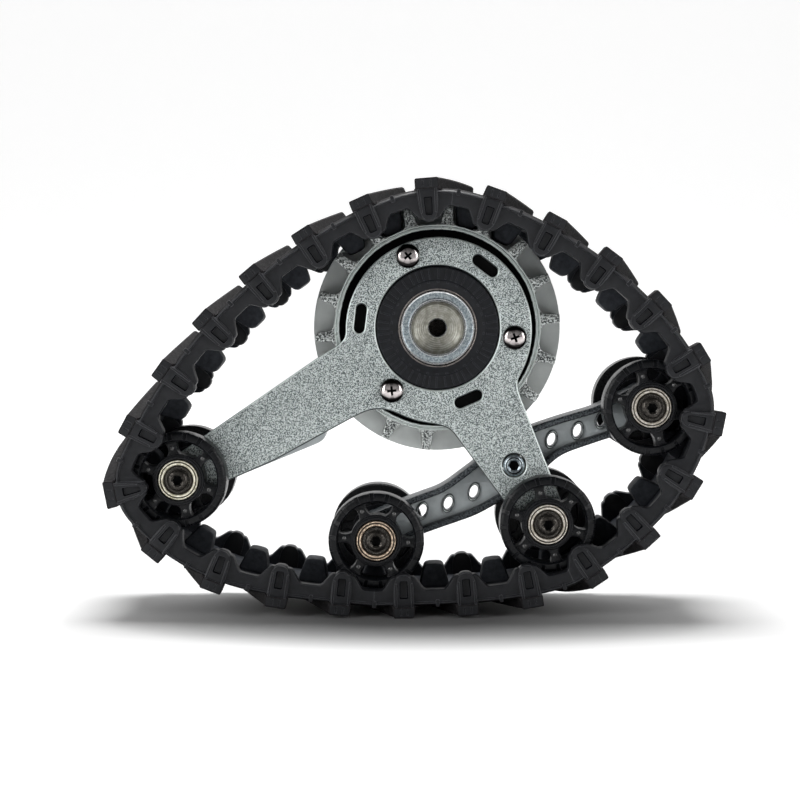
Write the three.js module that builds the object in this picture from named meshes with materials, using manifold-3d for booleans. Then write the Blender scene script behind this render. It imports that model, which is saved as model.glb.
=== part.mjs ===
// Triangular rubber-track unit for a model crawler: one sprocket, four wheel pairs, a belt.
// Millimetres, +Z up, +X to the right, the front of the unit faces -Y.
import * as THREE from 'three';
import { mergeVertices } from 'three/addons/utils/BufferGeometryUtils.js';
import Module from 'manifold-3d';

const wasm = await Module();
wasm.setup();

// ---- driving dimensions, measured from the hub axis ----
const GAP = 0.3;                       // clearance between pieces that touch
const IDLER_LEFT = [-71.9, -42.0];     // [x, z] of each wheel axle and of the rocker pivot
const ROAD_LEFT = [-17.1, -58.9];
const IDLER_LOW = [30.5, -54.3];
const ROAD_RIGHT = [58.9, -21.9];
const PIVOT = [21.5, -38.6];

const WHEEL_R = 13.3;
const WHEEL_IN = 9.5;                  // inner and outer faces of a wheel, from the centre plane
const WHEEL_OUT = 16.7;
const SPOKES = 6;
const WINDOW_IN = 7.7;                 // the windows between the spokes
const WINDOW_OUT = 10.5;
const WEB_IN = 12;                     // inner face of the spokes
const WEB_OUT = 12.8;                  // outer face of a rear wheel's web
const WHEEL_BEARING_R = 5.5;

const SPROCKET_R = 34.1;               // over the ribs
const DISC_R = 35.1;                   // the disc that closes the ribs at the rear
const SPROCKET_Y = 6.9;                // half width of the sprocket and of all between the plates
const DRUM_R = 28.6;
const DRUM_WALL = 1.6;
const RIBS = 18;
const RIB_PHASE = 4.6;                 // degrees, angle of the first rib

const BELT_HALF = 22;
const CARCASS = 2.7;                   // rubber thickness under the tread bars
const TREAD = 2.9;
const PITCHES = 24;
const EDGE_LUG_IN = 17.0;              // edge lugs run outside the wheels
const EDGE_LUG_H = 6.3;
const MID_LUG_HALF = 4.0;
const MID_LUG_H = 6.6;
const BAR_SWEEP = 11;                  // how far a bar's middle leads its two ends
const TOP_LUG_ANGLE = 94.7;            // degrees, an edge lug's place on the sprocket

const PLATE_IN = 7.2;                  // inner and outer faces of a side plate
const PLATE_OUT = 9.2;
const PLATE_R = 26.6;
const PLATE_BORE = 17.4;
const SCREW_CIRCLE = 21.7;
const SCREW_ANGLES = [-7.1, 112.5, 233.8];
const SLOT_ANGLES = [52.5, 173.2, 293.4];

const AXLE_R = 2.5;
const AXLE_HALF = 16.4;
const HUB_R = 7.5;
const BEARING_OUT = 9.2;               // outer face of a hub bearing
const BEARING_W = 4;
const RACE_R = 10.5;                   // outer radius of a hub bearing
const CARRIER_IN = 4.9;                // a carrier's inner and outer faces, and its flange
const CARRIER_OUT = 9.4;
const CARRIER_R = 25;
const SCREW_CORE = 1.4;                // shank radius of a plate or pivot screw
const HEX_FLATS = 12.2;

// ---- looks ----
const finish = {
  rubber: { color: 0x24262a, roughness: 0.85, metalness: 0 },
  cast: { color: 0x8d9391, roughness: 0.5, metalness: 0.8 },
  plate: { color: 0xa9b3ae, roughness: 0.55, metalness: 0.6 },
  plastic: { color: 0x15171b, roughness: 0.4, metalness: 0 },
  steel: { color: 0xcfcfcb, roughness: 0.25, metalness: 1 },
  darkSteel: { color: 0x3a3836, roughness: 0.35, metalness: 1 },
  bronze: { color: 0xa67c45, roughness: 0.4, metalness: 1 },
};

const rad = (degrees) => (degrees * Math.PI) / 180;

// ---- solids ----
// A closed geometry as a manifold solid, turned right side out if it is inside out.
function solid(geometry) {
  const bare = geometry.clone();
  bare.deleteAttribute('normal');
  bare.deleteAttribute('uv');
  const merged = mergeVertices(bare, 1e-4);
  const p = merged.getAttribute('position').array;
  const triVerts = new Uint32Array(merged.index.array);
  let volume = 0;
  for (let i = 0; i < triVerts.length; i += 3) {
    const [a, b, c] = [0, 1, 2].map((k) => new THREE.Vector3().fromArray(p, triVerts[i + k] * 3));
    volume += a.dot(b.cross(c));
  }
  if (volume < 0) {
    for (let i = 0; i < triVerts.length; i += 3) {
      [triVerts[i], triVerts[i + 1]] = [triVerts[i + 1], triVerts[i]];
    }
  }
  return new wasm.Manifold(new wasm.Mesh({ numProp: 3, vertProperties: new Float32Array(p), triVerts }));
}

function toGeometry(manifold) {
  const mesh = manifold.getMesh();
  const geometry = new THREE.BufferGeometry();
  geometry.setAttribute('position', new THREE.BufferAttribute(new Float32Array(mesh.vertProperties), 3));
  geometry.setIndex(new THREE.BufferAttribute(new Uint32Array(mesh.triVerts), 1));
  geometry.computeVertexNormals();
  return geometry;
}

// Outlines are [x, z] points. An extrusion runs along Y from y0 to y1.
function extrude(outline, y0, y1, holes = []) {
  const shape = new THREE.Shape(outline.map(([x, z]) => new THREE.Vector2(x, z)));
  shape.holes = holes.map((h) => new THREE.Path(h.map(([x, z]) => new THREE.Vector2(x, z))));
  const geometry = new THREE.ExtrudeGeometry(shape, { depth: y1 - y0, bevelEnabled: false });
  return geometry.rotateX(Math.PI / 2).translate(0, y1, 0);
}

// A profile of [radius, y] points turned about the Y axis, moved to an axle at [x, z].
function turn(profile, segments, at = [0, 0]) {
  const points = [...profile, profile[0]].map(([r, y]) => new THREE.Vector2(r, y));
  return new THREE.LatheGeometry(points, segments).translate(at[0], 0, at[1]);
}

const tube = (rIn, rOut, y0, y1, segments, at) =>
  turn([[rIn, y0], [rOut, y0], [rOut, y1], [rIn, y1]], segments, at);

function arc([x, z], r, from, to, steps) {
  return Array.from({ length: steps + 1 }, (_, i) => {
    const a = rad(from + ((to - from) * i) / steps);
    return [x + r * Math.cos(a), z + r * Math.sin(a)];
  });
}

const circle = (centre, r, steps) => arc(centre, r, 0, 360 - 360 / steps, steps - 1);
const polar = (r, degrees) => [r * Math.cos(rad(degrees)), r * Math.sin(rad(degrees))];
const cylinder = (centre, r, y0, y1, steps) => extrude(circle(centre, r, steps), y0, y1);

// ---- assembly ----
const root = new THREE.Group();

function add(name, shape, look) {
  const geometry = shape.isBufferGeometry ? toGeometry(solid(shape)) : toGeometry(shape);
  const mesh = new THREE.Mesh(geometry, new THREE.MeshStandardMaterial(finish[look]));
  mesh.name = name;
  root.add(mesh);
}

const sides = [['front', -1], ['rear', 1]];
const mirror = (profile, side) => profile.map(([r, y]) => [r, y * side]);

// ---- side plates: a ring round the hub with one arm to each frame axle ----
function plateOutline() {
  const endR = 6.1;
  return [
    ...arc([0, 0], PLATE_R, -28, 189, 18),
    [-33.5, -8.2],
    ...arc(IDLER_LEFT, endR, 124, 293, 8),
    [-46.1, -37.3],
    [-23.5, -25.5],
    [-19.5, -23.9],
    ...arc([0, 0], PLATE_R, -127, -94, 4),
    [3.2, -28.5],
    ...arc(IDLER_LOW, endR, 218, 381, 8),
    [22.8, -18.2],
    [22.2, -15.4],
  ];
}

function slotOutline(degrees) {
  const [x, z] = polar(21.8, degrees);
  const [dx, dz] = polar(2.55, degrees + 90);
  return [
    ...arc([x + dx, z + dz], 1.55, degrees, degrees + 180, 3),
    ...arc([x - dx, z - dz], 1.55, degrees + 180, degrees + 360, 3),
  ];
}

const plateHoles = [
  circle([0, 0], PLATE_BORE, 24),
  ...SCREW_ANGLES.map((a) => circle(polar(SCREW_CIRCLE, a), 1.8, 6)),
  ...SLOT_ANGLES.map(slotOutline),
  circle(PIVOT, 3.4, 10),
  circle(IDLER_LEFT, AXLE_R + GAP, 10),
  circle(IDLER_LOW, AXLE_R + GAP, 10),
];

for (const [name, side] of sides) {
  const y = [PLATE_IN * side, PLATE_OUT * side].sort((a, b) => a - b);
  add(`${name}_side_plate`, extrude(plateOutline(), y[0], y[1], plateHoles), 'plate');
}

// ---- hub bearings in their carriers, and the screws that hold carrier and plate together ----
for (const [name, side] of sides) {
  const carrier = turn(mirror([
    [RACE_R + GAP, CARRIER_OUT], [PLATE_BORE - GAP, CARRIER_OUT], [PLATE_BORE - GAP, SPROCKET_Y],
    [CARRIER_R, SPROCKET_Y], [CARRIER_R, CARRIER_IN], [RACE_R + GAP, CARRIER_IN],
  ], side), 24);
  let body = solid(carrier);
  for (const a of SCREW_ANGLES) {
    const hole = cylinder(polar(SCREW_CIRCLE, a), SCREW_CORE + GAP, -BELT_HALF, BELT_HALF, 6);
    body = body.subtract(solid(hole));
  }
  add(`${name}_bearing_carrier`, body, 'plastic');
  const y = [BEARING_OUT * side, (BEARING_OUT - BEARING_W) * side];
  add(`${name}_hub_bearing_outer_race`, tube(9.5, RACE_R, y[0], y[1], 20), 'steel');
  add(`${name}_hub_bearing_inner_race`, tube(HUB_R + GAP, 8.7, y[0], y[1], 20), 'steel');
  SCREW_ANGLES.forEach((a, i) => {
    const head = [[3.2, PLATE_OUT + GAP], [3.1, 10.3], [1.8, 11.2], [0, 11.4]];
    const screw = [[0, 5.2], [SCREW_CORE, 5.2], [SCREW_CORE, PLATE_OUT + GAP], ...head];
    add(`${name}_plate_screw_${i + 1}`, turn(mirror(screw, side), 10, polar(SCREW_CIRCLE, a)), 'steel');
  });
}

// ---- drive: ribbed sprocket on a cup-ended hub with a hex drive adapter ----
function sprocket() {
  const wall = DRUM_R - DRUM_WALL;
  let body = solid(turn([
    [HUB_R + GAP, -1.5], [wall, -1.5], [wall, -SPROCKET_Y], [DRUM_R, -SPROCKET_Y], [DRUM_R, 4.5],
    [DISC_R, 4.5], [DISC_R, SPROCKET_Y], [wall, SPROCKET_Y], [wall, 1.5], [HUB_R + GAP, 1.5],
  ], 2 * RIBS));
  const rib = extrude([
    [DRUM_R - 0.6, -3.0], [30.2, -1.7], [SPROCKET_R - 0.1, -1.1],
    [SPROCKET_R - 0.1, 1.1], [30.2, 1.7], [DRUM_R - 0.6, 3.0],
  ], -SPROCKET_Y, 5);
  for (let i = 0; i < RIBS; i += 1) {
    const turned = rib.clone().rotateY(-rad(RIB_PHASE + (i * 360) / RIBS));
    body = body.add(solid(turned));
  }
  return body;
}

add('drive_sprocket', sprocket(), 'cast');
add('drive_hub', turn([
  [HUB_R, -9.4], [HUB_R, 9.4], [2.25, 9.4], [2.25, -4.6], [6.2, -5.2], [6.9, -9.4],
], 20), 'steel');
const hexR = HEX_FLATS / 2 / Math.cos(rad(30));
add('hex_drive_adapter', solid(cylinder([0, 0], 8.9, 9.4 + GAP, 14.7, 24))
  .subtract(solid(cylinder([0, 0], hexR, 10.7, 16, 6))), 'darkSteel');

// ---- rocker: an I-section arm on the pivot, carrying the two sprung wheel pairs ----
const ARM_HALF = 5.5;
const ARM_WEB = 1.4;
const ARM_RIM = 2.0;
const ARM_BOSS_R = 6.3;                // clears the belt's middle lugs
const ARM_HOLE = [1.5, 2.3];           // half width and half height of an oval hole
const armOutline = [
  [-18.0, -65.1], [-3.9, -58.3], [11.0, -53.1], [17.6, -49.4], [27.5, -43.4],
  [32.4, -37.9], [36.2, -35.3], [48.6, -31.1], [61.3, -27.7],
  [56.6, -16.0], [44.8, -22.3], [35.7, -24.9], [26.9, -27.8], [15.5, -33.8],
  [10.4, -38.2], [1.3, -45.0], [-7.8, -48.3], [-20.3, -53.5],
];
const armHoles = [
  [-4.2, -52.3], [3.2, -50.1], [10.5, -46.8], [32.6, -31.8], [40.0, -29.3], [46.7, -26.2],
];

// The outline moved inwards by a distance, corner by corner.
function inset(outline, distance) {
  return outline.map((p, i) => {
    const before = outline[(i + outline.length - 1) % outline.length];
    const after = outline[(i + 1) % outline.length];
    const normals = [[before, p], [p, after]].map(([a, b]) => {
      const l = Math.hypot(b[0] - a[0], b[1] - a[1]);
      return [-(b[1] - a[1]) / l, (b[0] - a[0]) / l];
    });
    const [n, m] = normals;
    const k = distance / (1 + n[0] * m[0] + n[1] * m[1]);
    return [p[0] + k * (n[0] + m[0]), p[1] + k * (n[1] + m[1])];
  });
}

function rockerArm() {
  const oval = ([x, z]) => circle([0, 0], 1, 8).map(([u, v]) => [x + ARM_HOLE[0] * u, z + ARM_HOLE[1] * v]);
  const ovals = armHoles.map(oval);
  let body = solid(extrude(armOutline, -ARM_HALF, ARM_HALF, [inset(armOutline, ARM_RIM)]));
  body = body.add(solid(extrude(inset(armOutline, ARM_RIM - 0.5), -ARM_WEB, ARM_WEB, ovals)));
  body = body.add(solid(cylinder(PIVOT, 7.4, -6.7, 6.7, 20)));
  for (const at of [ROAD_LEFT, ROAD_RIGHT]) {
    body = body.add(solid(cylinder(at, ARM_BOSS_R, -ARM_HALF, ARM_HALF, 16)));
    body = body.add(solid(cylinder(at, 5.2, -9.2, 9.2, 12)));
    body = body.subtract(solid(cylinder(at, AXLE_R + GAP, -10, 10, 12)));
  }
  return body.subtract(solid(cylinder(PIVOT, 4.9, -8, 8, 16)));
}

add('rocker_arm', rockerArm(), 'cast');
add('rocker_pivot_bush', tube(3.3, 4.6, -6.4, 6.4, 16, PIVOT), 'bronze');

// ---- axles, spacers and the rocker pivot ----
// An axle has a blind thread in each end; each end's screw holds a wheel bearing on.
const axleProfile = [
  [0, -11], [1.6, -11], [1.6, -AXLE_HALF], [AXLE_R, -AXLE_HALF],
  [AXLE_R, AXLE_HALF], [1.6, AXLE_HALF], [1.6, 11], [0, 11],
];
const axles = [
  ['left_idler', IDLER_LEFT], ['left_road', ROAD_LEFT],
  ['low_idler', IDLER_LOW], ['right_road', ROAD_RIGHT],
];
for (const [name, at] of axles) {
  add(`${name}_axle`, turn(axleProfile, 12, at), 'darkSteel');
  for (const [face, side] of sides) {
    const screw = [[0, 12], [1.3, 12], [1.3, 16.9], [3.0, 16.9], [2.8, 18.0], [0, 18.4]];
    add(`${face}_${name}_screw`, turn(mirror(screw, side), 10, at), 'darkSteel');
  }
}
add('left_idler_spacer', tube(AXLE_R + GAP, 4.5, -SPROCKET_Y, SPROCKET_Y, 12, IDLER_LEFT), 'plate');
add('low_idler_spacer', tube(AXLE_R + GAP, 4.5, -SPROCKET_Y, SPROCKET_Y, 12, IDLER_LOW), 'plate');
add('rocker_pivot_pin', tube(1.7, 3.0, -SPROCKET_Y, SPROCKET_Y, 12, PIVOT), 'steel');
for (const [name, side] of sides) {
  const screw = [[0, 3], [1.4, 3], [1.4, 7.2], [3.1, 7.2], [3.1, 9.3], [0, 9.5]];
  add(`${name}_pivot_screw`, turn(mirror(screw, side), 12, PIVOT), 'darkSteel');
}
add('arm_spacer_block', extrude([
  [-60, -43.4], [-33.2, -32.3], [-31.6, -31.0], [-31.4, -28.6], [-34.8, -23.3], [-63.4, -35.1],
], -SPROCKET_Y, SPROCKET_Y), 'plate');

// ---- wheels, each with its ball bearing ----
// A rear wheel's windows are blind: a thin web closes them on the inside.
const SEAT_R = WHEEL_BEARING_R + GAP;
const wheelProfile = [
  [3.2, WHEEL_IN + GAP], [7.2, WHEEL_IN + GAP], [7.2, WEB_IN], [10.9, WEB_IN], [10.9, WHEEL_IN],
  [WHEEL_R, WHEEL_IN], [WHEEL_R, WHEEL_OUT], [SEAT_R, WHEEL_OUT], [SEAT_R, 12.4], [3.2, 12.4],
];
const spokePhase = { left_idler: 41.5, left_road: 56, low_idler: 43.8, right_road: 45 };

function wheelSolid(side, phase) {
  let wheel = solid(turn(mirror(wheelProfile, side), 16));
  for (let i = 0; i < SPOKES; i += 1) {
    const middle = phase + ((i + 0.5) * 360) / SPOKES;
    const window = [
      polar(WINDOW_IN, middle - 14), polar(WINDOW_OUT, middle - 19),
      polar(WINDOW_OUT, middle + 19), polar(WINDOW_IN, middle + 14),
    ];
    const y = side > 0 ? [WEB_OUT, BELT_HALF] : [-BELT_HALF, 0];
    wheel = wheel.subtract(solid(extrude(window, y[0], y[1])));
  }
  return wheel;
}

for (const [face, side] of sides) {
  for (const [name, at] of axles) {
    const wheel = wheelSolid(side, spokePhase[name]).translate([at[0], 0, at[1]]);
    const bearing = tube(AXLE_R + GAP, WHEEL_BEARING_R, 12.7 * side, 16.6 * side, 12, at);
    add(`${face}_${name}_wheel`, wheel, 'plastic');
    add(`${face}_${name}_bearing`, bearing, 'steel');
  }
}

// ---- track belt ----
// The belt's inner surface runs over these circles, clockwise from the sprocket. Between two
// circles it bows outwards: it leaves one `leave` degrees early and meets the next `arrive` late.
// The belt is slack, so it hangs a little clear of the wheels, most of all along the bottom.
const guides = [
  { at: [0, 0], r: DISC_R + 0.4, leave: 22, arrive: 25, fullness: 0.33 },
  { at: ROAD_RIGHT, r: WHEEL_R + 0.8, leave: 28, arrive: 16, fullness: 0.38 },
  { at: IDLER_LOW, r: WHEEL_R + 1.9, leave: 10, arrive: 4, fullness: 0.35 },
  { at: ROAD_LEFT, r: WHEEL_R + 1.9, leave: 12, arrive: 31, fullness: 0.38 },
  { at: IDLER_LEFT, r: WHEEL_R + 1.2, leave: 21, arrive: 25, fullness: 0.33 },
];

function tangentAngle(a, b) {
  const [dx, dz] = [b.at[0] - a.at[0], b.at[1] - a.at[1]];
  return Math.atan2(dz, dx) + Math.PI / 2 - Math.asin((a.r - b.r) / Math.hypot(dx, dz));
}

const ARC_STEPS = 40;
const SPAN_STEPS = 60;

// The point of a guide's circle at an angle, and the belt's direction of travel there.
const onCircle = (guide, a) =>
  new THREE.Vector2(guide.at[0] + guide.r * Math.cos(a), guide.at[1] + guide.r * Math.sin(a));
const travel = (a, length) => new THREE.Vector2(length * Math.sin(a), -length * Math.cos(a));

function beltPath() {
  const points = [];
  guides.forEach((guide, i) => {
    const next = guides[(i + 1) % guides.length];
    const last = guides[(i + guides.length - 1) % guides.length];
    const onto = tangentAngle(last, guide) - rad(last.arrive);
    const meet = tangentAngle(guide, next) - rad(guide.arrive);
    let off = tangentAngle(guide, next) + rad(guide.leave);
    while (off > onto) off -= 2 * Math.PI;
    for (let k = 0; k < ARC_STEPS; k += 1) {
      points.push(onCircle(guide, onto + ((off - onto) * k) / ARC_STEPS).toArray());
    }
    const [from, to] = [onCircle(guide, off), onCircle(next, meet)];
    const handle = from.distanceTo(to) * guide.fullness;
    const leaving = from.clone().add(travel(off, handle));
    const meeting = to.clone().sub(travel(meet, handle));
    const span = new THREE.CubicBezierCurve(from, leaving, meeting, to).getPoints(SPAN_STEPS);
    span.slice(0, -1).forEach((p) => points.push(p.toArray()));
  });
  return points;
}

const path = beltPath();
const pathLength = [0];
path.forEach((p, i) => {
  const q = path[(i + 1) % path.length];
  pathLength.push(pathLength[i] + Math.hypot(q[0] - p[0], q[1] - p[1]));
});
const BELT_LENGTH = pathLength[path.length];
const PITCH = BELT_LENGTH / PITCHES;

// The point at a distance s along the belt, h outwards from its inner surface.
function onBelt(s, h) {
  const d = ((s % BELT_LENGTH) + BELT_LENGTH) % BELT_LENGTH;
  let i = pathLength.findIndex((l) => l > d) - 1;
  if (i < 0) i = path.length - 1;
  const [a, b] = [path[i], path[(i + 1) % path.length]];
  const t = (d - pathLength[i]) / (pathLength[i + 1] - pathLength[i]);
  const [dx, dz] = [b[0] - a[0], b[1] - a[1]];
  const l = Math.hypot(dx, dz);
  return [a[0] + dx * t - (dz / l) * h, a[1] + dz * t + (dx / l) * h];
}

// The distance along the belt at which it crosses an angle on the sprocket.
function onSprocket(degrees) {
  const [first, last] = [guides[0], guides[guides.length - 1]];
  const onto = tangentAngle(last, first) - rad(last.arrive);
  return (onto - rad(degrees)) * first.r;
}

// A block of rubber: stations across the belt, each with its middle s and its y.
function rubberBlock(stations, footHalf, tipHalf, foot, tip) {
  const position = [];
  const index = [];
  stations.forEach(([s, y]) => {
    for (const [ds, h] of [[-footHalf, foot], [footHalf, foot], [tipHalf, tip], [-tipHalf, tip]]) {
      const [x, z] = onBelt(s + ds, h);
      position.push(x, y, z);
    }
  });
  for (let i = 0; i < stations.length - 1; i += 1) {
    for (let k = 0; k < 4; k += 1) {
      const [a, b] = [4 * i + k, 4 * i + ((k + 1) % 4)];
      index.push(a, b, b + 4, a, b + 4, a + 4);
    }
  }
  const end = 4 * (stations.length - 1);
  index.push(0, 2, 1, 0, 3, 2, end, end + 1, end + 2, end, end + 2, end + 3);
  const geometry = new THREE.BufferGeometry();
  geometry.setAttribute('position', new THREE.Float32BufferAttribute(position, 3));
  geometry.setIndex(index);
  return solid(geometry);
}

// A middle lug sits half a pitch from the edge lugs. Over the sprocket it is drawn along the belt
// to the middle of the nearest pocket.
function middleLugPlace(s) {
  const angleAt = (d) => {
    const [x, z] = onBelt(d, -MID_LUG_H / 2);
    return (Math.atan2(z, x) * 180) / Math.PI;
  };
  const [x, z] = onBelt(s, -MID_LUG_H);
  if (Math.hypot(x, z) > SPROCKET_R) return s;
  const step = 360 / RIBS;
  const turns = Math.round((angleAt(s) - RIB_PHASE) / step - 0.5) + 0.5;
  const pocket = RIB_PHASE + step * turns;
  let place = s;
  for (let i = 0; i < 20; i += 1) place += rad(angleAt(place) - pocket) * SPROCKET_R;
  return place;
}

function trackBelt() {
  const steps = PITCHES * 4;
  const ring = (h) => Array.from({ length: steps }, (_, i) => onBelt((i * BELT_LENGTH) / steps, h));
  let body = solid(extrude(ring(CARCASS).reverse(), -BELT_HALF, BELT_HALF, [ring(0)]));
  const first = onSprocket(TOP_LUG_ANGLE);
  const blocks = [];
  for (let i = -PITCHES / 2; i < PITCHES / 2; i += 1) {
    const s = first + i * PITCH;
    const bar = [-1, 0, 1].map((f) => [s + BAR_SWEEP * (1 - Math.abs(f)), BELT_HALF * f]);
    blocks.push(rubberBlock(bar, 2.7, 2.2, CARCASS - 0.5, CARCASS + TREAD));
    for (const [, side] of sides) {
      const row = [[s, EDGE_LUG_IN * side], [s, BELT_HALF * side]];
      blocks.push(rubberBlock(row, 5.2, 2.6, 0.4, -EDGE_LUG_H));
    }
    const m = middleLugPlace(s + PITCH / 2);
    blocks.push(rubberBlock([[m, -MID_LUG_HALF], [m, MID_LUG_HALF]], 4.3, 2.2, 0.4, -MID_LUG_H));
  }
  for (const block of blocks) body = body.add(block);
  return body;
}

add('track_belt', trackBelt(), 'rubber');

// The unit stands on its lowest tread bars, with the box centre over the origin.
const box = new THREE.Box3().setFromObject(root);
root.position.set(-(box.min.x + box.max.x) / 2, 0, -box.min.z);
root.updateMatrixWorld(true);

export default root;
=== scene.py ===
"""Looks of the triangular rubber track unit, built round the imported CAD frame.

Lengths in the builders below are millimetres, in the row frame (+X right, +Z up, -Y to the front).
Places come from the CAD nodes' boxes; outlines are drawn round the hub's axis, as in the CAD.
"""

import math

import bmesh
import bpy
import numpy as np
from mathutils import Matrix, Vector
from mathutils.geometry import tessellate_polygon


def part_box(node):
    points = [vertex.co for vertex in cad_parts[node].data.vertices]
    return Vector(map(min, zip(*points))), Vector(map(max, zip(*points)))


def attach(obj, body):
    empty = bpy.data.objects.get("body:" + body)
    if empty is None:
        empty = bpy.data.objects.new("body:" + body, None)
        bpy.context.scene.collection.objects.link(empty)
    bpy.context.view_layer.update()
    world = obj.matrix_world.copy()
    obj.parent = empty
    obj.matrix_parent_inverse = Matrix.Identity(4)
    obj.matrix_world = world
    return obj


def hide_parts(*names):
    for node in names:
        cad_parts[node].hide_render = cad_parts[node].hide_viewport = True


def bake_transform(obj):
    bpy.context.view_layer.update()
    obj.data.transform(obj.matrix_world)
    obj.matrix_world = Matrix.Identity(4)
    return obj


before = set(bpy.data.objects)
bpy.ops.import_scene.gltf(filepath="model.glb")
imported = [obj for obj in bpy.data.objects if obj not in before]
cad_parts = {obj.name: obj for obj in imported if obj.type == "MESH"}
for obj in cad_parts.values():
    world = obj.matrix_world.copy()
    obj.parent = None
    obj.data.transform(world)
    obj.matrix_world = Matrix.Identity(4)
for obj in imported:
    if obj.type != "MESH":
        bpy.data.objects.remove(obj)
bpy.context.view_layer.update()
MM = 0.001
SIDES = (("front", -1), ("rear", 1))
AXLES = ("left_idler", "left_road", "low_idler", "right_road")
GAP = 0.3


def middle(node):
    """The (x, z) middle of a CAD node, in mm."""
    low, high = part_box(node)
    return np.array([(low[0] + high[0]) / 2, (low[2] + high[2]) / 2]) / MM


HUB = middle("drive_hub")
PIVOT = middle("rocker_pivot_pin")
AXLE = {name: middle(f"{name}_axle") for name in AXLES}


# ---------------------------------------------------------------- camera and light
CAMERA_AT = (HUB[0] - 8.3, -483.0, HUB[1] + 5.5)
CAMERA_PITCH = 3.1
CAMERA_YAW = 0.27
LENS = 76.2


def camera():
    data = bpy.data.cameras.new("camera")
    data.lens = LENS
    data.sensor_width = 36
    data.clip_start = 0.01
    obj = bpy.data.objects.new("camera", data)
    obj.location = [c * MM for c in CAMERA_AT]
    obj.rotation_euler = (math.radians(90 - CAMERA_PITCH), 0, math.radians(CAMERA_YAW))
    bpy.context.scene.collection.objects.link(obj)
    bpy.context.scene.camera = obj


def softbox(name, at, aim, size, power):
    """A rectangular area light, places and size in metres, power in watts."""
    data = bpy.data.lights.new(name, "AREA")
    data.shape = "RECTANGLE"
    data.size, data.size_y = size
    data.energy = power
    obj = bpy.data.objects.new(name, data)
    obj.location = at
    obj.rotation_euler = (Vector(aim) - Vector(at)).to_track_quat("-Z", "Y").to_euler()
    bpy.context.scene.collection.objects.link(obj)


def studio():
    """Softboxes overhead, at both sides and behind, and a surround that is dark overhead."""
    aim = (0, 0, 0.06)
    softbox("top_light", (0.0, 0.20, 0.98), aim, (0.5, 0.35), 16)
    softbox("left_light", (-1.0, -0.75, 0.45), aim, (0.5, 1.0), 9)
    softbox("right_light", (1.0, -0.65, 0.40), aim, (0.4, 0.9), 6)
    softbox("back_light", (0.1, 0.95, 1.0), aim, (1.4, 0.7), 3)
    world = bpy.data.worlds.new("studio")
    world.use_nodes = True
    tree = world.node_tree
    split = new_node(tree, "ShaderNodeSeparateXYZ")
    tree.links.new(new_node(tree, "ShaderNodeTexCoord").outputs["Generated"], split.inputs["Vector"])
    background = tree.nodes["Background"]
    background.inputs["Color"].default_value = (1, 1, 1, 1)
    tree.links.new(spread(tree, split.outputs["Z"], 0.2, 0.75, 0.36, 0.05), background.inputs["Strength"])
    bpy.context.scene.world = world
    bpy.context.scene.view_settings.view_transform = "Standard"


def floor():
    """A pale floor that sweeps up into a wall behind the object, lengths in metres."""
    half, front, back, bend, height, steps = 6.0, -6.0, 2.2, 1.0, 5.0, 16
    line = [(front, 0.0), (back - bend, 0.0)]
    for i in range(1, steps + 1):
        a = math.pi / 2 * i / steps
        line.append((back - bend + bend * math.sin(a), bend * (1 - math.cos(a))))
    line.append((back, height))
    verts = [(x, y, z) for y, z in line for x in (-half, half)]
    faces = [(2 * i, 2 * i + 1, 2 * i + 3, 2 * i + 2) for i in range(len(line) - 1)]
    mesh = bpy.data.meshes.new("floor")
    mesh.from_pydata(verts, [], faces)
    mesh.shade_smooth()
    mesh.materials.append(FLOOR)
    obj = bpy.data.objects.new("floor", mesh)
    bpy.context.scene.collection.objects.link(obj)


def floor_glow(behind=0.70, in_front=0.20):
    """Lets the floor glow behind the object and in front of it, where it has to stay white."""
    tree = FLOOR.node_tree
    shader = tree.nodes["Principled BSDF"]
    shader.inputs["Emission Color"].default_value = (1, 1, 1, 1)
    split = new_node(tree, "ShaderNodeSeparateXYZ")
    tree.links.new(new_node(tree, "ShaderNodeTexCoord").outputs["Object"], split.inputs["Vector"])
    glow = new_node(tree, "ShaderNodeMath", operation="ADD")
    tree.links.new(spread(tree, split.outputs["Y"], 0.10, 0.8, 0.0, behind), glow.inputs[0])
    tree.links.new(spread(tree, split.outputs["Y"], -0.045, -0.075, 0.0, in_front), glow.inputs[1])
    tree.links.new(glow.outputs[0], shader.inputs["Emission Strength"])


def painted_floor_shadow(middle_y=-0.0217, half_x=0.0847, half_y=0.0435, dark=0.17):
    """Darkens the floor under the object in a soft oval, a painted shadow, sizes in metres."""
    tree = FLOOR.node_tree
    shader = tree.nodes["Principled BSDF"]
    oval_place = new_node(tree, "ShaderNodeMapping")
    oval_place.inputs["Location"].default_value = (0, -middle_y / half_y, 0)
    oval_place.inputs["Scale"].default_value = (1 / half_x, 1 / half_y, 1)
    tree.links.new(new_node(tree, "ShaderNodeTexCoord").outputs["Object"], oval_place.inputs["Vector"])
    near = new_node(tree, "ShaderNodeTexGradient", gradient_type="SPHERICAL")
    tree.links.new(oval_place.outputs["Vector"], near.inputs["Vector"])
    colour = shader.inputs["Base Color"].links[0].from_socket
    shade = mixed(tree, spread(tree, near.outputs["Fac"], 0.0, 0.75), colour, (dark, dark, dark))
    tree.links.new(shade, shader.inputs["Base Color"])


# ---------------------------------------------------------------- materials
def new_node(tree, kind, **values):
    made = tree.nodes.new(kind)
    for name, value in values.items():
        if name in made.inputs:
            made.inputs[name].default_value = value
        else:
            setattr(made, name, value)
    return made


def noise(tree, size, detail, rough):
    """A noise texture of that grain size in mm, fixed to the object."""
    place = new_node(tree, "ShaderNodeTexCoord").outputs["Object"]
    made = new_node(tree, "ShaderNodeTexNoise", Scale=1 / (size * MM), Detail=detail, Roughness=rough)
    tree.links.new(place, made.inputs["Vector"])
    return made.outputs["Fac"]


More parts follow.
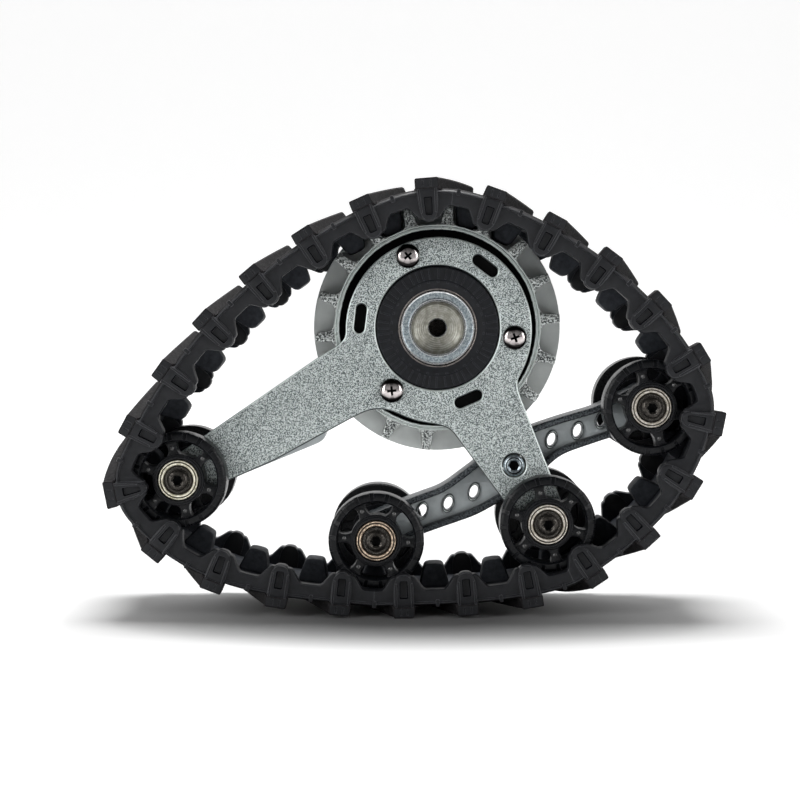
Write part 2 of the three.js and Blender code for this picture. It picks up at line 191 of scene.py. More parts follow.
def spread(tree, source, low, high, to_low=0.0, to_high=1.0):
    made = new_node(tree, "ShaderNodeMapRange")
    for name, value in (("From Min", low), ("From Max", high), ("To Min", to_low), ("To Max", to_high)):
        made.inputs[name].default_value = value
    tree.links.new(source, made.inputs["Value"])
    return made.outputs["Result"]


def mixed(tree, factor, first, second):
    made = new_node(tree, "ShaderNodeMix", data_type="RGBA")
    tree.links.new(factor, made.inputs["Factor"])
    for name, value in (("A", first), ("B", second)):
        socket = [s for s in made.inputs if s.name == name and s.type == "RGBA"][0]
        if isinstance(value, tuple):
            socket.default_value = (*value, 1)
        else:
            tree.links.new(value, socket)
    return [s for s in made.outputs if s.type == "RGBA"][0]


def bumped(tree, height, depth, under=None):
    made = new_node(tree, "ShaderNodeBump", Strength=1.0, Distance=depth * MM)
    tree.links.new(height, made.inputs["Height"])
    if under:
        tree.links.new(under, made.inputs["Normal"])
    return made.outputs["Normal"]


def edge_wear_and_highlight(tree, width):
    """0 on flat faces, 1 on edges that stick out, from the angle between bevelled and true normals. The edge
    colour laid on with it is partly wear and partly painted highlight.
    """
    bevel = new_node(tree, "ShaderNodeBevel", Radius=width * MM)
    bevel.samples = 6
    geometry = new_node(tree, "ShaderNodeNewGeometry")
    dot = new_node(tree, "ShaderNodeVectorMath", operation="DOT_PRODUCT")
    tree.links.new(bevel.outputs["Normal"], dot.inputs[0])
    tree.links.new(geometry.outputs["Normal"], dot.inputs[1])
    return spread(tree, dot.outputs["Value"], 0.985, 0.80)


def finish(
    name, colour, metallic, roughness, cloud, grain, wear_and_highlight=None, rings=None, rough_spread=0.08, gloss=0.5
):
    """A procedural finish. cloud = (size mm, second colour, contrast 0-1), grain = (size mm, depth mm),
    wear_and_highlight = (width mm, colour) for edges, partly wear and partly painted highlight,
    rings = (centre mm, spacing mm, depth mm) for a turned face, gloss = the shader's specular level."""
    material = bpy.data.materials.new(name)
    material.use_nodes = True
    tree = material.node_tree
    shader = tree.nodes["Principled BSDF"]
    shader.inputs["Metallic"].default_value = metallic
    shader.inputs["Specular IOR Level"].default_value = gloss
    size, second, contrast = cloud
    blotch = noise(tree, size, 5.0, 0.6)
    half = 0.5 * (1 - contrast)
    base = mixed(tree, spread(tree, blotch, 0.5 - half, 0.5 + half), second, colour)
    # Edges that stick out take the edge colour: partly wear, partly painted highlight.
    if wear_and_highlight:
        base = mixed(tree, edge_wear_and_highlight(tree, wear_and_highlight[0]), base, wear_and_highlight[1])
    rough = spread(tree, blotch, 0.25, 0.75, roughness + rough_spread, max(0.05, roughness - rough_spread))
    tree.links.new(rough, shader.inputs["Roughness"])
    normal = bumped(tree, noise(tree, grain[0], 3.0, 0.6), grain[1])
    if rings:
        centre, spacing, depth = rings
        shift = new_node(tree, "ShaderNodeVectorMath", operation="SUBTRACT")
        shift.inputs[1].default_value = (centre[0] * MM, 0, centre[1] * MM)
        tree.links.new(new_node(tree, "ShaderNodeTexCoord").outputs["Object"], shift.inputs[0])
        wave = new_node(tree, "ShaderNodeTexWave", wave_type="RINGS", rings_direction="Y", Distortion=0.4)
        wave.inputs["Scale"].default_value = 1 / (spacing * MM) / math.tau * 2
        tree.links.new(shift.outputs["Vector"], wave.inputs["Vector"])
        normal = bumped(tree, wave.outputs["Fac"], depth, normal)
        base = mixed(tree, spread(tree, wave.outputs["Fac"], 0.2, 0.8, 0, 0.45), base, second)
    tree.links.new(base, shader.inputs["Base Color"])
    tree.links.new(normal, shader.inputs["Normal"])
    return material


def paint_shade_by_facing(material, ranges, dark):
    """Paints shade onto what faces up or down. ranges = pairs of the normal's Z, where the dark starts and is
    full.
    """
    tree = material.node_tree
    shader = tree.nodes["Principled BSDF"]
    split = new_node(tree, "ShaderNodeSeparateXYZ")
    tree.links.new(new_node(tree, "ShaderNodeTexCoord").outputs["Normal"], split.inputs["Vector"])
    for start, full in ranges:
        colour = shader.inputs["Base Color"].links[0].from_socket
        shade = mixed(tree, spread(tree, split.outputs["Z"], start, full), colour, dark)
        tree.links.new(shade, shader.inputs["Base Color"])


RUBBER = finish(
    "rubber", (0.0105, 0.0112, 0.0135), 0, 0.50,
    cloud=(2.0, (0.006, 0.0065, 0.008), 0.6), grain=(0.45, 0.03),
    wear_and_highlight=(0.30, (0.075, 0.077, 0.084)), gloss=0.28,
)
TREAD = finish(
    "rubber_tread", (0.0105, 0.0095, 0.0105), 0, 0.75,
    cloud=(0.8, (0.004, 0.0035, 0.004), 0.85), grain=(0.40, 0.12),
    wear_and_highlight=(0.35, (0.045, 0.042, 0.044)), gloss=0.15,
)
# Darker, dull rubber for the recess in each edge lug's face: painted shade in the recess.
RECESS_PAINTED_SHADE = finish(
    "rubber_recess_painted_shade", (0.0065, 0.007, 0.0085), 0, 0.6,
    cloud=(3.0, (0.002, 0.002, 0.003), 0.4), grain=(0.4, 0.02), gloss=0.0,
)
# A lighter copy of the rubber for the belt's inner face, the inner sides of its edge walls and the middle
# lugs: painted light, making up for the little light that reaches inside the belt.
INNER_PAINTED_LIGHT = finish(
    "rubber_inner_painted_light", (0.030, 0.033, 0.039), 0, 0.6,
    cloud=(1.5, (0.015, 0.0165, 0.020), 0.6), grain=(0.5, 0.03), gloss=0.10,
)
PLATE = finish(
    "hammered_plate", (0.62, 0.675, 0.665), 0.45, 0.42,
    cloud=(0.285, (0.08, 0.10, 0.10), 0.94), grain=(0.285, 0.10), rough_spread=0.12,
)
PLATE_EDGE = finish(
    "plate_edge", (0.70, 0.76, 0.74), 0.6, 0.32,
    cloud=(2.0, (0.50, 0.56, 0.54), 0.4), grain=(0.6, 0.01),
)
SMOOTH = finish(
    "smooth_grey_metal", (0.78, 0.82, 0.805), 0.15, 0.38,
    cloud=(9.0, (0.60, 0.63, 0.62), 0.5), grain=(0.3, 0.005), wear_and_highlight=(0.25, (0.10, 0.10, 0.10)),
)
WEB = finish(
    "rocker_web", (0.46, 0.50, 0.51), 0.15, 0.40,
    cloud=(5.0, (0.34, 0.37, 0.38), 0.6), grain=(0.3, 0.01), wear_and_highlight=(0.2, (0.45, 0.47, 0.47)),
)
SPARKLE = finish(
    "rough_bright_cast", (0.52, 0.55, 0.54), 0.8, 0.30,
    cloud=(0.50, (0.045, 0.050, 0.050), 0.90), grain=(0.55, 0.20), wear_and_highlight=(0.22, (0.85, 0.87, 0.85)),
)
ARM_CAST = finish(
    "dark_cast_rim", (0.085, 0.097, 0.105), 0.6, 0.38,
    cloud=(0.50, (0.010, 0.012, 0.015), 0.85), grain=(0.5, 0.16), wear_and_highlight=(0.3, (0.30, 0.32, 0.33)),
)
NYLON = finish(
    "black_nylon", (0.0055, 0.006, 0.0075), 0, 0.30,
    cloud=(1.0, (0.0025, 0.003, 0.0035), 0.7), grain=(0.6, 0.08),
    wear_and_highlight=(0.20, (0.055, 0.056, 0.061)), gloss=0.20,
)
PIN = finish(
    "pin_mark", (0.085, 0.085, 0.085), 0, 0.2,
    cloud=(0.3, (0.02, 0.02, 0.02), 0.8), grain=(0.3, 0.06),
)
CARRIER = finish(
    "carrier_nylon", (0.0085, 0.0095, 0.012), 0, 0.50,
    cloud=(1.6, (0.005, 0.0055, 0.007), 0.7), grain=(0.5, 0.05),
    wear_and_highlight=(0.18, (0.050, 0.053, 0.060)), gloss=0.22,
)
STEEL = finish(
    "ground_steel", (0.86, 0.88, 0.88), 0.9, 0.24,
    cloud=(0.7, (0.40, 0.42, 0.44), 0.7), grain=(0.3, 0.008),
)
RACE_FACE = finish(
    "race_face", (0.47, 0.53, 0.55), 0.9, 0.34,
    cloud=(0.5, (0.20, 0.24, 0.27), 0.85), grain=(0.35, 0.03),
)
TURNED = finish(
    "turned_steel", (0.40, 0.40, 0.36), 0.9, 0.42,
    cloud=(1.3, (0.20, 0.195, 0.165), 0.7), grain=(0.3, 0.01), rings=(HUB, 0.6, 0.05),
)
NICKEL = finish(
    "screw_nickel", (0.86, 0.80, 0.79), 1.0, 0.14,
    cloud=(1.2, (0.50, 0.45, 0.45), 0.5), grain=(0.4, 0.004),
)
DARK_STEEL = finish(
    "blackened_steel", (0.070, 0.063, 0.055), 0.8, 0.30,
    cloud=(0.4, (0.012, 0.011, 0.010), 0.8), grain=(0.35, 0.08), wear_and_highlight=(0.12, (0.40, 0.38, 0.34)),
)
SHIELD = finish(
    "bearing_shield", (0.040, 0.033, 0.024), 0.9, 0.34,
    cloud=(0.5, (0.012, 0.010, 0.008), 0.7), grain=(0.3, 0.01),
)
BRASSY = finish(
    "race_bright", (0.80, 0.76, 0.69), 0.55, 0.22,
    cloud=(0.6, (0.36, 0.32, 0.26), 0.80), grain=(0.3, 0.01),
)
COPPER = finish(
    "race_coppery", (0.72, 0.57, 0.43), 0.75, 0.22,
    cloud=(0.6, (0.25, 0.19, 0.14), 0.80), grain=(0.3, 0.01),
)
OLIVE = finish(
    "race_olive", (0.98, 0.95, 0.80), 0.5, 0.22,
    cloud=(0.6, (0.42, 0.39, 0.27), 0.75), grain=(0.3, 0.01),
)
BRONZE = finish(
    "sintered_bronze", (0.50, 0.34, 0.16), 1.0, 0.42,
    cloud=(0.8, (0.30, 0.20, 0.10), 0.6), grain=(0.3, 0.02),
)
COPPERY = finish(
    "clip_ring", (0.44, 0.39, 0.36), 0.8, 0.30,
    cloud=(2.5, (0.14, 0.13, 0.13), 0.6), grain=(0.3, 0.01),
)
# Near black for the insides of holes, sockets, recesses and gaps: painted shade.
PAINTED_SHADE = finish(
    "painted_shade_black", (0.003, 0.003, 0.003), 0, 0.6,
    cloud=(3.0, (0.002, 0.002, 0.002), 0.4), grain=(0.4, 0.01), gloss=0.05,
)
# Painted reflection: the screw heads are darkened where they face up and where they face down, standing in
# for a dark surround mirrored there.
paint_shade_by_facing(NICKEL, [(0.10, 0.34), (-0.10, -0.34)], (0.02, 0.018, 0.018))
# Painted shade: the plate-edge metal is darkened where it faces down.
paint_shade_by_facing(PLATE_EDGE, [(-0.05, -0.35)], (0.035, 0.042, 0.045))
FLOOR = finish(
    "studio_floor", (0.54, 0.54, 0.54), 0, 0.9,
    cloud=(400, (0.53, 0.53, 0.53), 0.2), grain=(3.0, 0.01), gloss=0.1,
)


# ---------------------------------------------------------------- outlines
def arc(centre, r, start, end, steps):
    angles = np.radians(np.linspace(start, end, steps + 1))
    return [(centre[0] + r * math.cos(a), centre[1] + r * math.sin(a)) for a in angles]


def circle(centre, r, steps=48):
    return arc(centre, r, 0, 360, steps)[:-1]


def polar(r, degrees, centre=(0, 0)):
    a = math.radians(degrees)
    return (centre[0] + r * math.cos(a), centre[1] + r * math.sin(a))


def moved(points, by):
    return [(p[0] + by[0], p[1] + by[1]) for p in points]


def block(half_width, low, high):
    return [(-half_width, low), (half_width, low), (half_width, high), (-half_width, high)]


def symmetric(right):
    """A closed outline from its right half, mirrored."""
    return [(-x, z) for x, z in right[::-1]] + right


def rounded(points, r, steps=4):
    """A closed outline with its corners rounded off, r being how far from a corner the curve starts."""
    out = []
    for i in range(len(points)):
        a, p, b = (np.array(points[(i + k) % len(points)], float) for k in (-1, 0, 1))
        la, lb = np.linalg.norm(a - p), np.linalg.norm(b - p)
        start = p + (a - p) * min(r, la * 0.48) / la
        end = p + (b - p) * min(r, lb * 0.48) / lb
        for t in np.linspace(0, 1, steps + 1):
            out.append(tuple((1 - t) ** 2 * start + 2 * t * (1 - t) * p + t * t * end))
    return out


def area(points):
    p = np.array(points)
    q = np.roll(p, -1, axis=0)
    return float(np.sum(p[:, 0] * q[:, 1] - q[:, 0] * p[:, 1])) / 2


def inset(points, distance):
    """A loop moved to its left: into a counter-clockwise outline, out of a clockwise hole."""
    p = np.array(points, float)
    edge = np.roll(p, -1, axis=0) - p
    edge /= np.maximum(np.linalg.norm(edge, axis=1), 1e-9)[:, None]
    left = np.stack([-edge[:, 1], edge[:, 0]], axis=1)
    before = np.roll(left, 1, axis=0)
    k = distance / np.maximum(1 + np.sum(left * before, axis=1), 0.35)
    return p + (left + before) * k[:, None]


# ---------------------------------------------------------------- solids
class Shape:
    """Vertices and faces of one piece, gathered from closed shells, each face with a material number."""

    def __init__(self):
        self.verts, self.faces, self.marks = [], [], []

    def add(self, verts, faces, marks):
        base = len(self.verts)
        self.verts += [tuple(v) for v in verts]
        self.faces += [[base + i for i in f] for f in faces]
        self.marks += marks
        return self

    def slab(self, outline, y0, y1, holes=(), bevel=0.2, face=0, side=0, steps=2, pockets=()):
        """An outline of (x, z) points extruded along Y, with rounded edges and holes.
        pockets = (loop, depth, end 0 or 1, mark) are blind recesses in the y0 or the y1 face."""
        verts, faces, marks, caps = [], [], [], [[], []]

        def band(loop, rows, mark):
            base, n = len(verts), len(loop)
            for r, y in rows:
                verts.extend((x, y, z) for x, z in inset(loop, r))
            for k in range(len(rows) - 1):
                for i in range(n):
                    j = (i + 1) % n
                    a, b = base + k * n, base + (k + 1) * n
                    faces.append([a + i, a + j, b + j, b + i])
                    marks.append(mark)
            return [range(base + k * n, base + (k + 1) * n) for k in range(len(rows))]

        def cap(rings, mark):
            flat = [i for ring in rings for i in ring]
            flat_loops = [[Vector((verts[i][0], verts[i][2], 0)) for i in ring] for ring in rings]
            for tri in tessellate_polygon(flat_loops):
                faces.append([flat[i] for i in tri])
                marks.append(mark)

        loops = [outline if area(outline) > 0 else outline[::-1]]
        loops += [h if area(h) < 0 else h[::-1] for h in holes]
        turns = [math.pi / 2 * i / steps for i in range(steps + 1)]
        sign = 1 if y1 > y0 else -1
        rows = [(bevel * (1 - math.sin(a)), y0 + sign * bevel * (1 - math.cos(a))) for a in turns]
        rows += [(r, y0 + y1 - y) for r, y in rows[::-1]]
        for loop in loops:
            rings = band(loop, rows, side)
            caps[0].append(rings[0])
            caps[1].append(rings[-1])
        for loop, depth, end, mark in pockets:
            loop = loop if area(loop) < 0 else loop[::-1]
            mouth = y1 if end else y0
            into = -sign if end else sign
            chamfer = min(0.15, depth / 3)
            steps_in = [(chamfer, mouth), (0, mouth + into * chamfer), (-chamfer, mouth + into * depth)]
            rings = band(loop, steps_in, mark)
            caps[end].append(rings[0])
            cap([rings[-1]], mark)
        cap(caps[0], face)
        cap(caps[1], face)
        return self.add(verts, faces, marks)

    def lathe(self, profile, centre=(0, 0), mark=0, side=1, steps=72, shaped=None, angles=None):
        """A closed profile of (radius, y) turned about Y. shaped(radius, y, angle) may reshape it.
        mark is one number, or one for each edge of the profile."""
        angles = angles if angles is not None else [math.tau * i / steps for i in range(steps)]
        verts, faces, marks = [], [], []
        n = len(profile)
        for a in angles:
            for r, y in profile:
                r, y = shaped(r, y, a) if shaped else (r, y)
                verts.append((centre[0] + r * math.cos(a), y * side, centre[1] + r * math.sin(a)))
        for i in range(len(angles)):
            j = (i + 1) % len(angles)
            for k in range(n):
                m = (k + 1) % n
                if profile[k][0] < 1e-6 and profile[m][0] < 1e-6:
                    continue
                faces.append([i * n + k, i * n + m, j * n + m, j * n + k])
                marks.append(mark if isinstance(mark, int) else mark[k])
        return self.add(verts, faces, marks)

    def make(self, node, body, slot, *materials, name=None, sharp=32):
        """The Blender piece that stands for a CAD node. body None leaves it without a parent."""
        name = name or f"{node}_detailed"
        mesh = bpy.data.meshes.new(name)
        mesh.from_pydata([[c * MM for c in v] for v in self.verts], [], self.faces)
        mesh.update()
        for material in materials:
            mesh.materials.append(material)
        mesh.polygons.foreach_set("material_index", self.marks)
        bm = bmesh.new()
        bm.from_mesh(mesh)
        bmesh.ops.remove_doubles(bm, verts=bm.verts, dist=1e-6)
        bmesh.ops.dissolve_degenerate(bm, edges=bm.edges, dist=1e-6)
        bmesh.ops.recalc_face_normals(bm, faces=bm.faces)
        bm.to_mesh(mesh)
        bm.free()
        mesh.shade_smooth()
        mesh.set_sharp_from_angle(angle=math.radians(sharp))
        obj = bpy.data.objects.new(name, mesh)
        bpy.context.scene.collection.objects.link(obj)
        if body:
            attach(obj, body)
        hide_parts(node)
        return obj


def hexagon(flats):
    """Reshapes the rings inside a hex socket, drawn at the socket's half width, into hexagons."""
    def shaped(r, y, angle):
        if r > flats / 2 + 1e-6:
            return r, y
        turn = angle % (math.pi / 3) - math.pi / 6
        return r / math.cos(turn), y
    return shaped


def cross(size, half_width, turned=0.0):
    """Reshapes the rings inside a cross recess, drawn at the recess's half length, into crosses."""
    def shaped(r, y, angle):
        if r > size + 1e-6:
            return r, y
        turn = (angle - math.radians(turned) + math.pi / 4) % (math.pi / 2) - math.pi / 4
        edge = min(size / math.cos(turn), half_width / max(abs(math.sin(turn)), 1e-6))
        return edge * r / size, y
    return shaped


# ---------------------------------------------------------------- belt
# The belt's path, its pitch and the places of its lugs are worked out as in the CAD.
SPROCKET_R, RIBS, RIB_PHASE = 34.1, 18, 4.6
DISC_R = 35.1
WHEEL_R = 13.3
BELT_HALF = 22
CARCASS, TREAD_TOP = 2.7, 5.6
PITCHES = 24
EDGE_LUG_H = 6.3
MID_LUG_H = 6.6
BAR_SWEEP = 9.6
TOP_LUG_ANGLE = 94.7
WALL = 1.9
GUIDES = [  # centre, radius, degrees left early, degrees met late, how full the bow after it is
    (HUB, DISC_R + 0.4, 22, 25, 0.33),
    (AXLE["right_road"], WHEEL_R + 0.8, 28, 16, 0.38),
    (AXLE["low_idler"], WHEEL_R + 1.9, 10, 4, 0.35),
    (AXLE["left_road"], WHEEL_R + 1.9, 12, 31, 0.38),
    (AXLE["left_idler"], WHEEL_R + 1.2, 21, 25, 0.33),
]


def tangent_angle(a, b):
    dx, dz = b[0] - a[0]
    return math.atan2(dz, dx) + math.pi / 2 - math.asin((a[1] - b[1]) / math.hypot(dx, dz))


def on_circle(guide, angle):
    return guide[0] + guide[1] * np.array([math.cos(angle), math.sin(angle)])


def travel(angle, length):
    return length * np.array([math.sin(angle), -math.cos(angle)])


def belt_path(arc_steps=120, span_steps=160):
    """Points of the belt's inner surface, clockwise, and the index where each guide's arc starts."""
    points, starts = [], []
    for i, guide in enumerate(GUIDES):
        following, last = GUIDES[(i + 1) % len(GUIDES)], GUIDES[i - 1]
        onto = tangent_angle(last, guide) - math.radians(last[3])
        meet = tangent_angle(guide, following) - math.radians(guide[3])
        off = tangent_angle(guide, following) + math.radians(guide[2])
        while off > onto:
            off -= math.tau
        starts.append(len(points))
        points += [on_circle(guide, onto + (off - onto) * k / arc_steps) for k in range(arc_steps)]
        p0, p3 = on_circle(guide, off), on_circle(following, meet)
        handle = np.linalg.norm(p3 - p0) * guide[4]
        p1, p2 = p0 + travel(off, handle), p3 - travel(meet, handle)
        for t in np.arange(span_steps) / span_steps:
            u = 1 - t
            points.append(u**3 * p0 + 3 * t * u**2 * p1 + 3 * t**2 * u * p2 + t**3 * p3)
    return np.array(points), starts


PATH, ARC_STARTS = belt_path()
STEP = np.linalg.norm(np.roll(PATH, -1, axis=0) - PATH, axis=1)
ALONG = np.concatenate([[0], np.cumsum(STEP)])
BELT_LENGTH = ALONG[-1]
PITCH = BELT_LENGTH / PITCHES
CLOSED = np.vstack([PATH, PATH[:1]])
SLOPE = np.roll(PATH, -1, axis=0) - np.roll(PATH, 1, axis=0)
SLOPE /= np.linalg.norm(SLOPE, axis=1)[:, None]
SLOPE = np.vstack([SLOPE, SLOPE[:1]])


def on_belt(s, h):
    """Arrays of (x, z) at distances s along the belt, h outwards from its inner surface."""
    d = np.mod(np.asarray(s, float), BELT_LENGTH)
    x, z = (np.interp(d, ALONG, CLOSED[:, k]) for k in (0, 1))
    dx, dz = (np.interp(d, ALONG, SLOPE[:, k]) for k in (0, 1))
    size = np.hypot(dx, dz)
    return x - dz / size * h, z + dx / size * h


def first_lug():
    guide, last = GUIDES[0], GUIDES[-1]
    onto = tangent_angle(last, guide) - math.radians(last[3])
    return (onto - math.radians(TOP_LUG_ANGLE)) * guide[1]


FIRST_LUG = first_lug()


def middle_lug_place(s):
    """Half a pitch after an edge lug; over the sprocket, in the middle of the nearest pocket."""
    def angle_at(d):
        x, z = on_belt(d, -MID_LUG_H / 2)
        return math.degrees(math.atan2(z - HUB[1], x - HUB[0]))
    x, z = on_belt(s, -MID_LUG_H)
    if math.hypot(x - HUB[0], z - HUB[1]) > SPROCKET_R:
        return s
    step = 360 / RIBS
    pocket = RIB_PHASE + step * (round((angle_at(s) - RIB_PHASE) / step - 0.5) + 0.5)
    for _ in range(20):
        s += math.radians(angle_at(s) - pocket) * SPROCKET_R
    return s


def wall_depth(s):
    """How far the edge wall stands inwards: low between lugs, rising to each of them."""
    def at(u):
        u = abs((u - FIRST_LUG + PITCH / 2) % PITCH - PITCH / 2)
        return float(np.interp(u, [3.1, 5.8], [5.6, WALL]))
    return sum(at(s + d) for d in (-0.5, -0.25, 0, 0.25, 0.5)) / 5


def carcass(shape, start, end):
    """The band of the belt with its two edge walls, as one swept closed strip."""
    stations = np.linspace(start, end, max(2, round((end - start) / 0.5)) + 1)

    def section(depth):
        half = [
            (16.6, 0), (16.95, 0.12), (17.1, -0.4), (17.2, -depth + 0.4), (17.55, -depth), (20.2, -depth),
            (20.6, -depth + 0.25), (20.7, -depth + 0.6), (20.8, 1.3), (21.45, 1.45), (21.55, 1.7),
            (21.4, 1.9), (20.4, 1.9), (20.1, 2.2), (19.6, 2.4), (19.0, CARCASS), (10, CARCASS), (0, CARCASS),
        ]
        return half + [(-y, h) for y, h in half[-2::-1]] + [(-8, 0), (8, 0)]

    rings = [section(wall_depth(s)) for s in stations]
    n = len(rings[0])
    verts = [(s, y, h) for s, ring in zip(stations, rings) for y, h in ring]
    faces, marks = [], []
    middle_point = n // 2 - 1
    tread_from, tread_to = middle_point - 4, middle_point + 4
    for k in range(len(stations) - 1):
        for i in range(n):
            j = (i + 1) % n
            faces.append([k * n + i, k * n + j, (k + 1) * n + j, (k + 1) * n + i])
            # Mark 3, the lightened inner rubber, goes on the inner face and the inner sides of the edge
            # walls: painted light.
            marks.append(1 if tread_from <= i < tread_to else 3 if i < 4 or i >= n - 7 else 0)
    for base in (0, (len(stations) - 1) * n):
        for tri in tessellate_polygon([[Vector((y, h, 0)) for y, h in rings[0]]]):
            faces.append([base + i for i in tri])
            marks.append(0)
    shape.add(verts, faces, marks)


def edge_lug(shape, s, side):
    """The block at the belt's edge: a round-ended lug inside, with a recess in its face and two ridges
    beside it, a tread pad outside, and a small nub half way to the next block."""
    tip = -EDGE_LUG_H
    lug = symmetric([(1.3, tip), (2.6, -4.8), (2.9, -2.2), (2.95, 3.6)])
    face = symmetric([(1.15, tip + 0.2), (2.35, -4.7), (2.7, -2.2), (2.7, 2.6)])
    recess = rounded([(-0.95, -4.5), (0.95, -4.5), (1.05, 0.2), (-1.05, 0.2)], 0.35, 3)
    pad = [(-3.05, 2.6), (3.05, 2.6), (2.8, TREAD_TOP), (-2.8, TREAD_TOP)]
    shape.slab(moved(rounded(lug, 1.0, 3), (s, 0)), 16.9 * side, 20.7 * side, bevel=0.3, side=0)
    # The recess in the lug's face takes the darker recess rubber (mark 2): painted shade.
    shape.slab(moved(rounded(face, 0.9, 3), (s, 0)), 20.3 * side, 21.8 * side, bevel=0.3, side=0,
               pockets=[(moved(recess, (s, 0)), 1.2, 1, 2)])
    slit = rounded(block(0.2, 3.2, 4.9), 0.08, 2)
    slits = [(moved(slit, (s + ds, 0)), 0.25, 1, 0) for ds in (-1.0, 0.9)]
    shape.slab(moved(rounded(pad, 0.4, 3), (s, 0)), 16.9 * side, (BELT_HALF + 0.1) * side, bevel=0.3, face=0,
               side=1, pockets=slits)
    ridge = rounded(block(0.28, -3.9, 3.0), 0.12, 2)
    for ds in (-2.3, 2.15):
        shape.slab(moved(ridge, (s + ds, 0)), 21.0 * side, 22.0 * side, bevel=0.15)
    nub = rounded(block(0.5, 0.9, 2.7), 0.25, 2)
    shape.slab(moved(nub, (s + 8.1, 0)), 20.4 * side, 21.7 * side, bevel=0.2)


def chevron_bar(shape, s):
    """One tread bar, from the front pad forward to the middle and back to the rear pad."""
    shoulder = TREAD_TOP - 0.4
    section = symmetric([(1.95, TREAD_TOP), (2.35, shoulder), (2.9, 2.3)])
    ys = [-21.2, -18, -15, -12, -9, -6, -3.5, -1.2, 0, 1.2, 3.5, 6, 9, 12, 15, 18, 21.2]
    n = len(section)
    verts = [(s + BAR_SWEEP * (1 - abs(y) / BELT_HALF) + ds, y, h) for y in ys for ds, h in section]
    faces = []
    for k in range(len(ys) - 1):
        for i in range(n):
            j = (i + 1) % n
            faces.append([k * n + i, k * n + j, (k + 1) * n + j, (k + 1) * n + i])
    last = (len(ys) - 1) * n
    faces += [list(range(n)), list(range(last, last + n))]
    shape.add(verts, faces, [1] * len(faces))


def middle_lug(shape, s):
    lug = [
        (-4.3, 0.2), (-3.95, -1.9), (-3.0, -5.5), (-2.2, -MID_LUG_H),
        (2.2, -MID_LUG_H), (3.0, -5.5), (3.95, -1.9), (4.3, 0.2),
    ]
    # The middle lug takes the lightened inner rubber (mark 3): painted light.
    shape.slab(moved(rounded(lug, 1.6, 4), (s, 0)), -4.0, 4.0, bevel=0.7, face=3, side=3, steps=3)


def wrapped(shape):
    """Puts a shape drawn as (along the belt, across, outwards) on the belt's path."""
    s, y, h = np.array(shape.verts).T
    x, z = on_belt(s, h)
    shape.verts = list(zip(x, y, z))
    return shape


def belt_piece(name, start, end):
    """A stretch of the belt with all lugs and bars whose place lies on it."""
    shape = Shape()
    carcass(shape, start, end)
    for i in range(-PITCHES, 2 * PITCHES):
        s = FIRST_LUG + i * PITCH
        if start <= s < end:
            edge_lug(shape, s, -1)
            edge_lug(shape, s, 1)
            chevron_bar(shape, s)
        if start <= s + PITCH / 2 < end:
            middle_lug(shape, middle_lug_place(s + PITCH / 2))
    materials = (RUBBER, TREAD, RECESS_PAINTED_SHADE, INNER_PAINTED_LIGHT)
    return wrapped(shape).make("track_belt", None, "belt_rubber", *materials, name=name, sharp=28)


def arc_place(guide_index, angle_deg):
    """The distance along the belt where it passes an angle of a guide's circle."""
    guide, last = GUIDES[guide_index], GUIDES[guide_index - 1]
    onto = tangent_angle(last, guide) - math.radians(last[3])
    turn = (onto - math.radians(angle_deg)) % math.tau
    return ALONG[ARC_STARTS[guide_index]] + turn * guide[1]


def build_belt():
    """Five stretches: one stays with the frame, four are built in place and left without a parent."""
    cut_left = arc_place(4, 180) - BELT_LENGTH
    cut_top = arc_place(0, 84)
    cut_right = arc_place(1, -5)
    cut_low = arc_place(2, -66)
    cut_road = arc_place(3, -92)
    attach(belt_piece("belt_over_sprocket", cut_left, cut_top), "frame")
    left, road, low, right = (AXLE[name] for name in AXLES)
    stretches = [
        ("belt_upper_right", cut_top, cut_right, "frame", "rocker", HUB, right, -4, -2),
        ("belt_lower_right", cut_right, cut_low, "rocker", "frame", right, low, 2, 2),
        ("belt_bottom", cut_low, cut_road, "frame", "rocker", low, road, 8, 1),
        ("belt_lower_left", cut_road, cut_left + BELT_LENGTH, "rocker", "frame", road, left, 8, 6),
    ]
    for name, start, end, a, b, first, second, margin, last_margin in stretches:
        piece = belt_piece(name, start, end)
        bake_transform(piece)


# ---------------------------------------------------------------- side plates
PLATE_IN, PLATE_OUT = 7.2, 9.2
PLATE_R, PLATE_MIDDLE, PLATE_BORE = 26.1, (0.3, -0.7), 17.4
SLOT_ANGLES = (52.5, 173.2, 293.4)


def about_hub(x, z):
    return (HUB[0] + x, HUB[1] + z)


def plate_outline():
    end_r = 6.1
    return [
        *arc(about_hub(*PLATE_MIDDLE), PLATE_R, -28, 178, 72),
        about_hub(-25.7, -1.6), about_hub(-26.2, -3.2), about_hub(-27.9, -4.8), about_hub(-33.5, -8.2),
        *arc(AXLE["left_idler"], end_r, 124, 293, 24),
        about_hub(-46.1, -37.3), about_hub(-23.4, -24.9), about_hub(-19.8, -23.2), about_hub(-16.3, -22.6),
        about_hub(-12.6, -23.4), about_hub(-9.2, -25.0), about_hub(-4.8, -26.5), about_hub(-0.4, -27.0),
        about_hub(3.6, -28.2),
        *arc(AXLE["low_idler"], end_r, 218, 381, 24), about_hub(22.8, -18.2), about_hub(22.2, -15.4),
    ]


def slot_outline(degrees, r=1.5, half=2.6):
    place = polar(21.8, degrees, HUB)
    first, second = polar(half, degrees + 90, place), polar(half, degrees - 90, place)
    return arc(first, r, degrees, degrees + 180, 10) + arc(second, r, degrees + 180, degrees + 360, 10)


